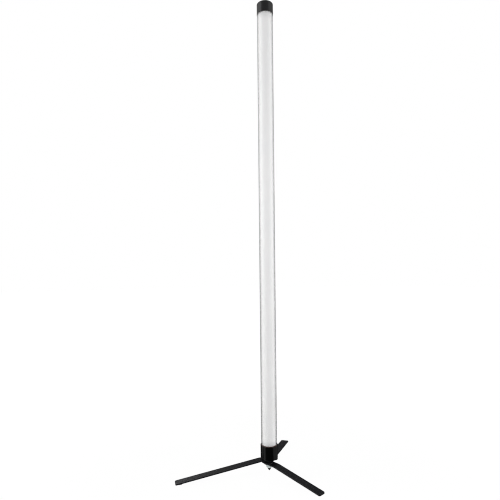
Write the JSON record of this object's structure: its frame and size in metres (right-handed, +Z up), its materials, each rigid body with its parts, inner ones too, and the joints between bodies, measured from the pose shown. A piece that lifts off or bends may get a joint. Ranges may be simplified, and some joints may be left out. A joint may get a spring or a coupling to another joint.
{
  "type": "led light tube",
  "caption": "Tall clear tube light with an opal diffuser and black caps, standing in a cup on flat swinging legs that nest when folded.",
  "frame": {"origin": "on the floor, under the axis of the tube and of the bolt that the legs turn on", "axes": "+Z up along the tube; +Y along the back leg; +X to the right, on the side of the shortest leg"},
  "size_m": [0.3371, 0.3122, 1.1269],
  "materials": {
    "clear_tube": "clear polycarbonate, gloss",
    "opal_diffuser": "frosted opal",
    "cap_plastic": "satin moulded",
    "gasket_black": "matt",
    "gasket_clear": "translucent silicone",
    "gasket_brown": "matt silicone",
    "black_screw": "black oxide",
    "switch_plastic": "satin",
    "circuit_green": "solder mask",
    "chip": "matt",
    "port_metal": "stamped",
    "status_window": "tinted clear",
    "spine_aluminium": "extruded, anodised",
    "board_white": "white solder mask",
    "led": "phosphor",
    "cell_wrap": "shrink wrap",
    "insulator": "fish paper",
    "wire_red": "silicone wire",
    "wire_yellow": "silicone wire",
    "bulkhead_white": "moulded",
    "zinc": "bright zinc plate",
    "cup_black": "satin moulded",
    "leg_powder_coat": "fine satin powder coat",
    "rubber": "matt",
    "spacer_black": "nylon"
  },
  "bodies": {
    "stand": {"base_cup": "cup_black", "cup_pad": "rubber", "bolt_washer": "zinc", "pivot_bolt": "zinc", "leg_spacers": "spacer_black", "nut_washer": "zinc", "pivot_nut": "zinc"},
    "left_leg": {"leg_left": "leg_powder_coat", "foot_left": "rubber"},
    "back_leg": {"leg_back": "leg_powder_coat", "foot_back": "rubber"},
    "right_leg": {"leg_right": "leg_powder_coat", "foot_right": "rubber"},
    "light": {"outer_tube": "clear_tube", "diffuser_tube": "opal_diffuser", "top_cap": "cap_plastic", "bottom_cap": "cap_plastic", "upper_gasket": "gasket_clear", "lower_gasket": "gasket_brown", "top_seal": "gasket_black", "bottom_seal": "gasket_black", "top_panel": "cap_plastic", "panel_screws": "black_screw", "button_switch": "switch_plastic", "control_board": "circuit_green", "charge_port": "port_metal", "status_window": "status_window", "led_spine": "spine_aluminium", "led_board_front": "board_white", "led_board_back": "board_white", "leds_front": "led", "leds_back": "led", "battery_cells": "cell_wrap", "battery_spacers": "insulator", "battery_sleeve": "insulator", "driver_board": "circuit_green", "driver_parts": "chip", "power_wires": "wire_red", "control_wires": "wire_yellow", "top_bulkhead": "bulkhead_white", "bottom_bulkhead": "bulkhead_white", "spine_screws_top": "zinc", "spine_screws_bottom": "zinc"},
    "button": {"power_button": "cap_plastic", "switch_plunger": "switch_plastic"}
  },
  "joints": [
    {"name": "leg_left_swing", "type": "hinge", "parent": "stand", "child": "left_leg", "pos_m": [0, 0, 0.0313], "axis": [0, 0, 1], "range_deg": [-120, 120]},
    {"name": "leg_back_swing", "type": "hinge", "parent": "stand", "child": "back_leg", "pos_m": [0, 0, 0.0263], "axis": [0, 0, 1], "range_deg": [-120, 120]},
    {"name": "leg_right_swing", "type": "hinge", "parent": "stand", "child": "right_leg", "pos_m": [0, 0, 0.0213], "axis": [0, 0, 1], "range_deg": [-120, 120]},
    {"name": "tube_lift", "type": "slide", "parent": "stand", "child": "light", "axis": [0, 0, 1], "range_m": [0, 0.06]},
    {"name": "power_press", "type": "slide", "parent": "light", "child": "button", "axis": [0, 0, -1], "range_m": [0, 0.0008], "stiffness_N_per_m": 900}
  ]
}
